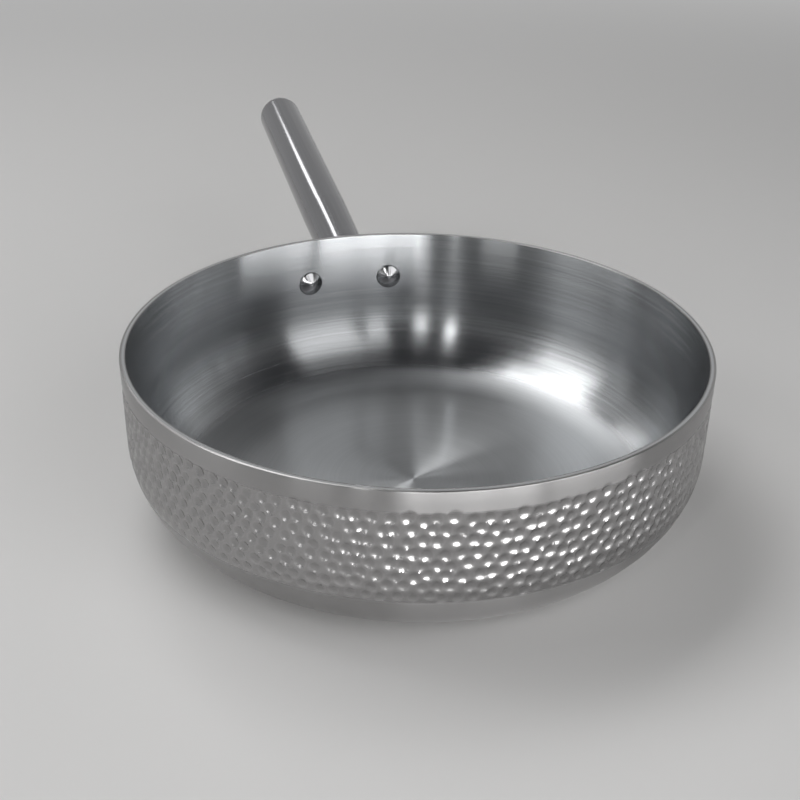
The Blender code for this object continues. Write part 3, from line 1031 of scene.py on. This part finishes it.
class PAN_OT_studio(bpy.types.Operator):
    """Adds the pale floor, the soft lamps, the world and the camera"""

    bl_idname = "pan.studio"
    bl_label = "Studio and camera"

    def execute(self, context):
        studio = context.scene.pan_studio
        self.add_floor(studio)
        self.add_world(studio)
        for lamp in LAMPS:
            self.add_lamp(*lamp)
        bpy.ops.object.camera_add(location=studio.camera_place, rotation=studio.camera_turn)
        camera = context.object
        camera.name = "photo_camera"
        camera.data.lens = studio.lens
        camera.data.sensor_width = 36
        camera.data.clip_start = 0.01
        context.scene.camera = camera
        context.scene.view_settings.view_transform = "Standard"
        return {"FINISHED"}

    def add_floor(self, studio):
        """A pale floor that fades into the backdrop far from the pan."""
        select_nothing()
        bpy.ops.mesh.primitive_plane_add(size=60, location=(0, 0, 0))
        floor = named("floor")
        paint = Finish("pale_floor", Metallic=0.0, Roughness=0.85, Specular_IOR_Level=0.1)
        place = paint.place()
        grain = paint.noise(place, 3, detail=2)
        paint.put("Base Color", paint.tones(grain, studio.floor, 0.985, 1.0))
        x, y, _ = paint.parts(place)
        paint.fade_to(paint.fade(paint.distance(x, y), *FLOOR_FADE), studio.backdrop)
        floor.data.materials.append(paint.material)

    def add_world(self, studio):
        """A pale wall that darkens overhead, sooner in front than behind, and plain light for the shadows."""
        world = bpy.data.worlds.new("studio_world")
        bpy.context.scene.world = world
        sky = Graph(world)
        _, y, z = sky.parts(sky.node("ShaderNodeTexCoord", output="Generated"))
        front = sky.math("MINIMUM", y, 0)
        back = sky.math("MAXIMUM", y, 0)
        height = z * (1 - front * 0.8) - back * 0.6
        wall = sky.blend(sky.fade(height, *CEILING_FADE), studio.backdrop, studio.ceiling)
        colour_seen = sky.blend(sky.seen(), [studio.fill] * 3, wall)
        sky.fill(sky.tree.nodes["Background"].inputs["Color"], colour_seen)

    def add_lamp(self, name, around, up, away, size, power):
        """A soft box that faces the pan, at degrees round from +X and up from the floor."""
        around, up = math.radians(around), math.radians(up)
        flat = math.cos(up)
        direction = Vector((math.cos(around) * flat, math.sin(around) * flat, math.sin(up)))
        place = direction * away + Vector((0, 0, LAMP_AIM))
        turn = direction.to_track_quat("Z", "Y").to_euler()
        bpy.ops.object.light_add(type="AREA", location=place, rotation=turn)
        lamp = bpy.context.object
        lamp.name = name
        lamp.data.shape = "RECTANGLE"
        lamp.data.size, lamp.data.size_y = size
        lamp.data.energy = power
        lamp.visible_camera = False


class PAN_PT_sidebar(bpy.types.Panel):
    """Lists the steps, in order, and the sizes that they read"""

    bl_label = "Hammered pan"
    bl_idname = "PAN_PT_sidebar"
    bl_space_type = "VIEW_3D"
    bl_region_type = "UI"
    bl_category = "Pan"

    def draw(self, context):
        for operator in OPERATORS:
            self.layout.operator(operator.bl_idname)
        for name in SETTINGS:
            box = self.layout.box()
            group = getattr(context.scene, name)
            for key in group.__annotations__:
                box.prop(group, key)


SETTINGS = {
    "pan_wall": PanWall,
    "pan_hammer": HammerMarks,
    "pan_handle": HandleSizes,
    "pan_bracket": BracketSizes,
    "pan_rivet": RivetSizes,
    "pan_finish": MetalFinishes,
    "pan_studio": StudioSettings,
}
OPERATORS = (
    PAN_OT_outer_shell,
    PAN_OT_inner_layers,
    PAN_OT_bracket,
    PAN_OT_grip,
    PAN_OT_rivets,
    PAN_OT_studio,
)


def register():
    for group in SETTINGS.values():
        bpy.utils.register_class(group)
    for operator in (*OPERATORS, PAN_PT_sidebar):
        bpy.utils.register_class(operator)
    for name, group in SETTINGS.items():
        setattr(bpy.types.Scene, name, PointerProperty(type=group))


def unregister():
    for name in SETTINGS:
        delattr(bpy.types.Scene, name)
    for made in (*OPERATORS, PAN_PT_sidebar, *SETTINGS.values()):
        bpy.utils.unregister_class(made)


def main():
    register()
    bpy.ops.pan.outer_shell()
    bpy.ops.pan.inner_layers()
    bpy.ops.pan.bracket()
    bpy.ops.pan.grip()
    bpy.ops.pan.rivets()
    bpy.ops.pan.studio()


if __name__ == "__main__":
    main()
